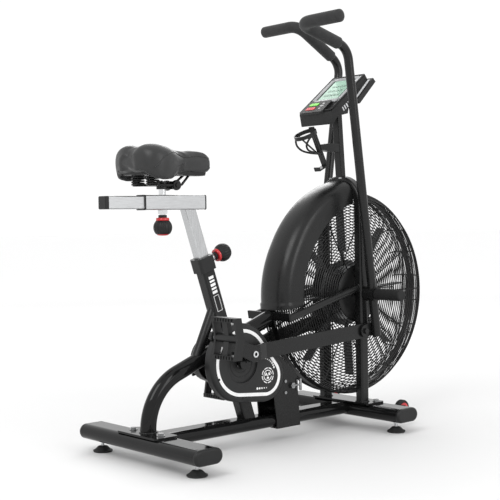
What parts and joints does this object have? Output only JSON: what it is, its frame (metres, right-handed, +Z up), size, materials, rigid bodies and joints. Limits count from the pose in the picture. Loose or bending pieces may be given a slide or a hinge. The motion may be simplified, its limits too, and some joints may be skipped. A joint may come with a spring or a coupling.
{
  "type": "air bike",
  "caption": "Upright air bike: pedals and swinging handle levers linked to a caged fan wheel, with an adjustable padded saddle and a small console.",
  "frame": {"origin": "on the floor, under the middle of the bounding box", "axes": "+X forward towards the fan, +Y to the rider's left, +Z up"},
  "size_m": [1.329, 0.654, 1.3985],
  "materials": {
    "frame_black": "satin powder coat",
    "shroud_black": "semi-gloss paint",
    "cage_wire": "satin powder coat",
    "cover_black": "fine grain",
    "trim_black": "moulded",
    "console_black": "moulded",
    "display_green": "liquid crystal window",
    "key_green": "moulded",
    "key_red": "moulded",
    "foam_black": "closed-cell foam",
    "peg_black": "ribbed",
    "foot_black": "moulded with a zinc stem",
    "knob_black": "ribbed, with a red ring",
    "wheel_black": "solid tyre with a red hub",
    "seat_leather": "padded, stitched",
    "saddle_black": "satin",
    "rail_silver": "brushed",
    "post_silver": "brushed",
    "chrome": "polished",
    "zinc": "zinc plated",
    "crank_steel": "satin",
    "drive_steel": "machined",
    "belt_rubber": "ribbed belt",
    "fan_metal": "rolled sheet",
    "pedal_black": "moulded"
  },
  "bodies": {
    "frame": {"rear_stabiliser": "frame_black", "front_stabiliser": "frame_black", "end_caps": "trim_black", "spine_tube": "frame_black", "mount_plates": "frame_black", "frame_bolts": "zinc", "arch_tube": "frame_black", "seat_tube": "frame_black", "brace_tubes": "frame_black", "bottom_bracket": "frame_black", "drive_bracket": "frame_black", "bearings": "drive_steel", "fan_fork": "frame_black", "mast": "frame_black", "grille_right": "cage_wire", "grille_left": "cage_wire", "cage_rim": "cage_wire", "fan_shroud": "shroud_black", "fan_axle": "zinc", "foot_pegs": "peg_black", "housing_outer": "cover_black", "housing_inner": "cover_black", "belt_guard": "cover_black", "drive_belts": "belt_rubber", "bottle_cage": "trim_black", "console_shell": "console_black", "console_display": "display_green", "seat_collar": "trim_black"},
    "seat_post": {"seat_post": "post_silver", "seat_rail": "rail_silver", "rail_end_cap": "trim_black"},
    "seat_slider": {"seat_sleeve": "rail_silver", "sleeve_bush": "trim_black", "saddle_pin": "chrome", "saddle_clamp": "saddle_black"},
    "saddle": {"saddle_rails": "saddle_black", "saddle_cushion": "seat_leather"},
    "slider_knob": {"slider_knob": "knob_black"},
    "post_knob": {"post_knob": "knob_black"},
    "crank": {"crank_set": "crank_steel", "crank_pulley": "drive_steel"},
    "jackshaft": {"jackshaft": "drive_steel"},
    "fan": {"fan_hub": "drive_steel", "fan_paddles": "fan_metal"},
    "link_right": {"link_right": "frame_black"},
    "link_left": {"link_left": "frame_black"},
    "pedal_right": {"pedal_right": "pedal_black"},
    "pedal_left": {"pedal_left": "pedal_black"},
    "lever_right": {"lever_right": "frame_black", "grip_right": "foam_black"},
    "lever_left": {"lever_left": "frame_black", "grip_left": "foam_black"},
    "start_button": {"start_button": "key_green"},
    "stop_button": {"stop_button": "key_red"},
    "wheel_right": {"wheel_right": "wheel_black"},
    "wheel_left": {"wheel_left": "wheel_black"},
    "foot_rear_right": {"foot_rear_right": "foot_black"},
    "foot_rear_left": {"foot_rear_left": "foot_black"},
    "foot_front_right": {"foot_front_right": "foot_black"},
    "foot_front_left": {"foot_front_left": "foot_black"}
  },
  "joints": [
    {"name": "seat_height", "type": "slide", "parent": "frame", "child": "seat_post", "axis": [-0.3173, 0, 0.9483], "range_m": [-0.095, 0.075]},
    {"name": "seat_fore_aft", "type": "slide", "parent": "seat_post", "child": "seat_slider", "axis": [1, 0, 0], "range_m": [-0.1, 0.05]},
    {"name": "saddle_tilt", "type": "hinge", "parent": "seat_slider", "child": "saddle", "pos_m": [-0.4145, 0, 0.816], "axis": [0, 1, 0], "range_deg": [-8, 15]},
    {"name": "slider_knob_pull", "type": "slide", "parent": "seat_slider", "child": "slider_knob", "axis": [0, 0, -1], "range_m": [0, 0.008], "stiffness_N_per_m": 2000, "springref_m": -0.004},
    {"name": "post_knob_pull", "type": "slide", "parent": "frame", "child": "post_knob", "axis": [0.9483, 0, 0.3173], "range_m": [0, 0.008], "stiffness_N_per_m": 2000, "springref_m": -0.004},
    {"name": "crank_spin", "type": "hinge", "parent": "frame", "child": "crank", "pos_m": [-0.2235, 0, 0.274], "axis": [0, 1, 0], "continuous": true},
    {"name": "jackshaft_spin", "type": "hinge", "parent": "frame", "child": "jackshaft", "pos_m": [-0.1265, 0, 0.222], "axis": [0, 1, 0], "continuous": true},
    {"name": "fan_spin", "type": "hinge", "parent": "frame", "child": "fan", "pos_m": [0.3215, 0, 0.455], "axis": [0, 1, 0], "continuous": true},
    {"name": "link_right_pivot", "type": "hinge", "parent": "crank", "child": "link_right", "pos_m": [-0.20947, -0.112, 0.30276], "axis": [0, 1, 0], "continuous": true},
    {"name": "pedal_right_spin", "type": "hinge", "parent": "crank", "child": "pedal_right", "pos_m": [-0.36444, -0.195, 0.36906], "axis": [0, 1, 0], "continuous": true},
    {"name": "link_left_pivot", "type": "hinge", "parent": "crank", "child": "link_left", "pos_m": [-0.23753, 0.112, 0.24524], "axis": [0, 1, 0], "continuous": true},
    {"name": "pedal_left_spin", "type": "hinge", "parent": "crank", "child": "pedal_left", "pos_m": [-0.08256, 0.195, 0.17894], "axis": [0, 1, 0], "continuous": true},
    {"name": "lever_right_swing", "type": "hinge", "parent": "frame", "child": "lever_right", "pos_m": [0.3215, -0.126, 0.455], "axis": [0, 1, 0], "range_deg": [-7.1, 24.9]},
    {"name": "lever_left_swing", "type": "hinge", "parent": "frame", "child": "lever_left", "pos_m": [0.3215, 0.126, 0.455], "axis": [0, 1, 0], "range_deg": [-24.9, 7.1]},
    {"name": "start_press", "type": "slide", "parent": "frame", "child": "start_button", "axis": [0.6157, 0, -0.788], "range_m": [0, 0.001], "stiffness_N_per_m": 800, "springref_m": -0.0005},
    {"name": "stop_press", "type": "slide", "parent": "frame", "child": "stop_button", "axis": [0.6157, 0, -0.788], "range_m": [0, 0.001], "stiffness_N_per_m": 800, "springref_m": -0.0005},
    {"name": "wheel_right_spin", "type": "hinge", "parent": "frame", "child": "wheel_right", "pos_m": [0.4245, -0.162, 0.061], "axis": [0, 1, 0], "continuous": true},
    {"name": "foot_rear_right_turn", "type": "hinge", "parent": "frame", "child": "foot_rear_right", "pos_m": [-0.5215, -0.233, 0.03], "axis": [0, 0, 1], "continuous": true},
    {"name": "foot_front_right_turn", "type": "hinge", "parent": "frame", "child": "foot_front_right", "pos_m": [0.3385, -0.212, 0.03], "axis": [0, 0, 1], "continuous": true},
    {"name": "wheel_left_spin", "type": "hinge", "parent": "frame", "child": "wheel_left", "pos_m": [0.4245, 0.162, 0.061], "axis": [0, 1, 0], "continuous": true},
    {"name": "foot_rear_left_turn", "type": "hinge", "parent": "frame", "child": "foot_rear_left", "pos_m": [-0.5215, 0.233, 0.03], "axis": [0, 0, 1], "continuous": true},
    {"name": "foot_front_left_turn", "type": "hinge", "parent": "frame", "child": "foot_front_left", "pos_m": [0.3385, 0.212, 0.03], "axis": [0, 0, 1], "continuous": true}
  ],
  "couplings": [
    {"joint": "jackshaft_spin", "follows": "crank_spin", "ratio": 3.7143},
    {"joint": "fan_spin", "follows": "crank_spin", "ratio": 7.5974},
    {"joint": "link_right_pivot", "follows": "crank_spin", "ratio": -1},
    {"joint": "link_left_pivot", "follows": "crank_spin", "ratio": -1},
    {"joint": "lever_left_swing", "follows": "lever_right_swing", "ratio": -1}
  ]
}
